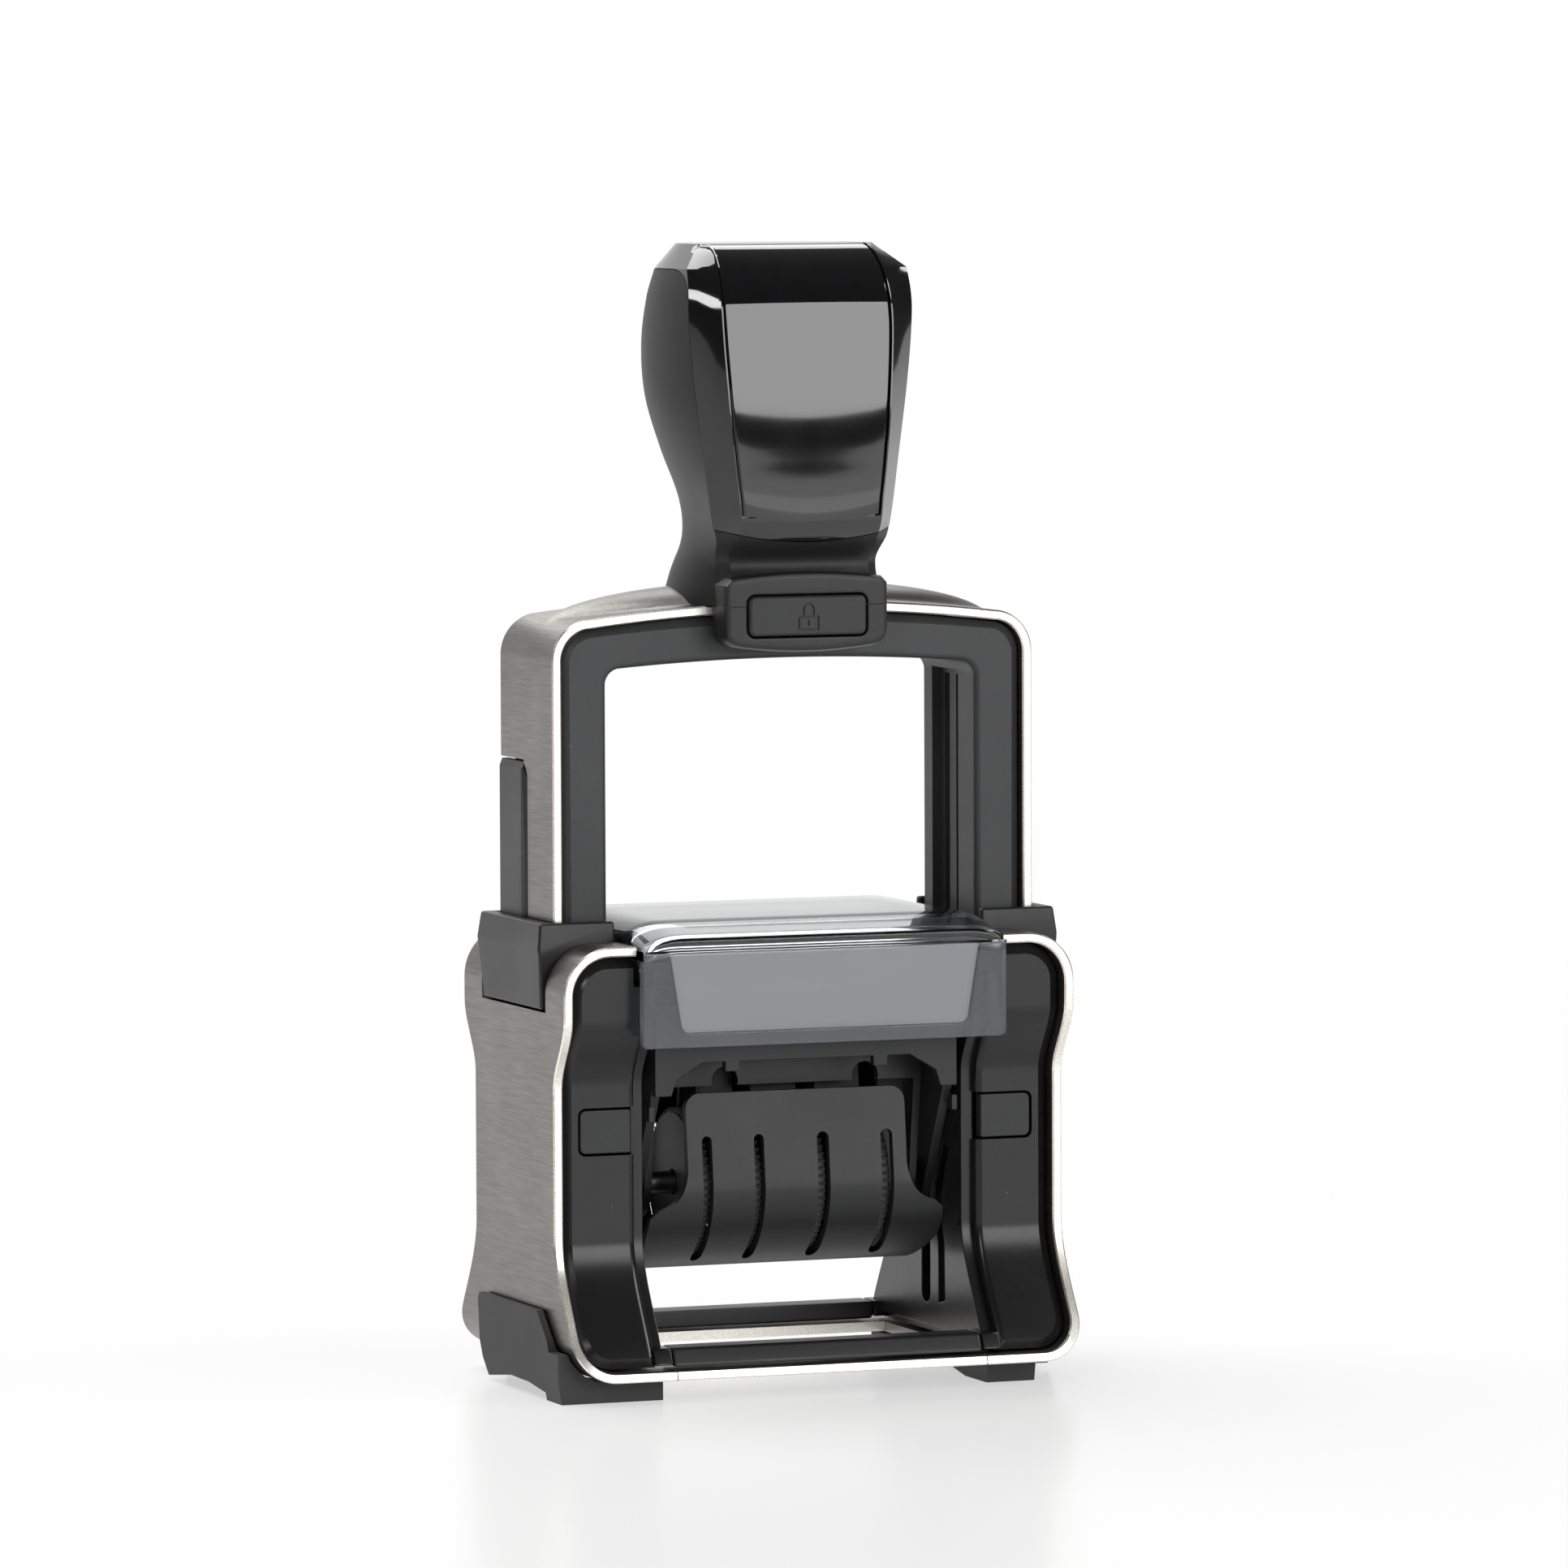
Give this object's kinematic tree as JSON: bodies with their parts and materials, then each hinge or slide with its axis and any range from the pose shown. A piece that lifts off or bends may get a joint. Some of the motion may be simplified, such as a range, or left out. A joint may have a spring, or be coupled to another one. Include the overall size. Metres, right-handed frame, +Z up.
{
  "type": "rotary date stamp",
  "caption": "Self-inking rotary date stamp: a sprung handle frame slides in a metal-banded base and turns a print unit with adjustable date wheels from its ink pad to the paper.",
  "frame": {"origin": "on the table, under the middle of the base's bounding box", "axes": "+X across the stamp, +Y from its front (label and lock button) to its back, +Z up towards the handle"},
  "size_m": [0.0738, 0.0476, 0.15],
  "materials": {
    "brushed_metal": "brushed sheet with a bright sheared edge",
    "black_moulding": "fine satin texture",
    "soft_grip": "soft matte",
    "piano_black": "high gloss",
    "clear_window": "clear polished plastic",
    "frosted_grip": "frosted translucent plastic",
    "pad_felt": "inked felt",
    "print_rubber": "moulded relief",
    "spring_metal": "bright wire and turned pins"
  },
  "bodies": {
    "base": {"lower_band": "brushed_metal", "left_housing": "black_moulding", "right_housing": "black_moulding", "left_collar": "black_moulding", "right_collar": "black_moulding", "left_foot": "soft_grip", "right_foot": "soft_grip", "front_sill": "black_moulding", "rear_sill": "black_moulding", "clear_cover": "clear_window", "left_return_spring": "spring_metal", "right_return_spring": "spring_metal"},
    "left_release": {"left_release_button": "black_moulding"},
    "right_release": {"right_release_button": "black_moulding"},
    "cartridge": {"cartridge_grip": "frosted_grip", "pad_tray": "black_moulding", "ink_pad": "pad_felt"},
    "upper": {"upper_band": "brushed_metal", "upper_liner": "black_moulding", "left_rail": "black_moulding", "right_rail": "black_moulding", "left_pivot_pin": "spring_metal", "right_pivot_pin": "spring_metal", "handle_grip": "soft_grip", "handle_bezel": "piano_black", "label_panel": "piano_black", "handle_core": "black_moulding", "handle_screw": "spring_metal", "lock_housing": "black_moulding", "lock_spring": "spring_metal"},
    "lock": {"lock_button": "black_moulding"},
    "print_unit": {"type_holder": "black_moulding", "text_plate": "print_rubber", "band_frame": "black_moulding", "nose_bar": "black_moulding", "wheel_axle": "spring_metal", "front_wheel_cover": "black_moulding", "rear_wheel_cover": "black_moulding", "date_band_1": "print_rubber", "date_band_2": "print_rubber", "date_band_3": "print_rubber", "date_band_4": "print_rubber"},
    "wheel_1": {"date_wheel_1": "black_moulding"},
    "wheel_2": {"date_wheel_2": "black_moulding"},
    "wheel_3": {"date_wheel_3": "black_moulding"},
    "wheel_4": {"date_wheel_4": "black_moulding"}
  },
  "joints": [
    {"name": "press", "type": "slide", "parent": "base", "child": "upper", "axis": [0, 0, -1], "range_m": [0, 0.03], "stiffness_N_per_m": 400, "springref_m": -0.02, "deforming": ["left_return_spring", "right_return_spring"]},
    {"name": "flip", "type": "hinge", "parent": "upper", "child": "print_unit", "pos_m": [0, 0, 0.0416], "axis": [-1, 0, 0], "range_deg": [0, 180]},
    {"name": "lock_push", "type": "slide", "parent": "upper", "child": "lock", "axis": [0, 1, 0], "range_m": [0, 0.0015], "stiffness_N_per_m": 600, "springref_m": -0.002},
    {"name": "left_release_push", "type": "slide", "parent": "base", "child": "left_release", "axis": [0, 1, 0], "range_m": [0, 0.001], "stiffness_N_per_m": 600, "springref_m": -0.002},
    {"name": "right_release_push", "type": "slide", "parent": "base", "child": "right_release", "axis": [0, 1, 0], "range_m": [0, 0.001], "stiffness_N_per_m": 600, "springref_m": -0.002},
    {"name": "cartridge_slide", "type": "slide", "parent": "base", "child": "cartridge", "axis": [0, -1, 0], "range_m": [0, 0.045]},
    {"name": "wheel_1_turn", "type": "hinge", "parent": "print_unit", "child": "wheel_1", "pos_m": [0, 0, 0.0262], "axis": [1, 0, 0], "continuous": true},
    {"name": "wheel_2_turn", "type": "hinge", "parent": "print_unit", "child": "wheel_2", "pos_m": [0, 0, 0.0262], "axis": [1, 0, 0], "continuous": true},
    {"name": "wheel_3_turn", "type": "hinge", "parent": "print_unit", "child": "wheel_3", "pos_m": [0, 0, 0.0262], "axis": [1, 0, 0], "continuous": true},
    {"name": "wheel_4_turn", "type": "hinge", "parent": "print_unit", "child": "wheel_4", "pos_m": [0, 0, 0.0262], "axis": [1, 0, 0], "continuous": true}
  ],
  "couplings": [
    {"joint": "flip", "follows": "press", "rad_per_m": 104.71}
  ]
}
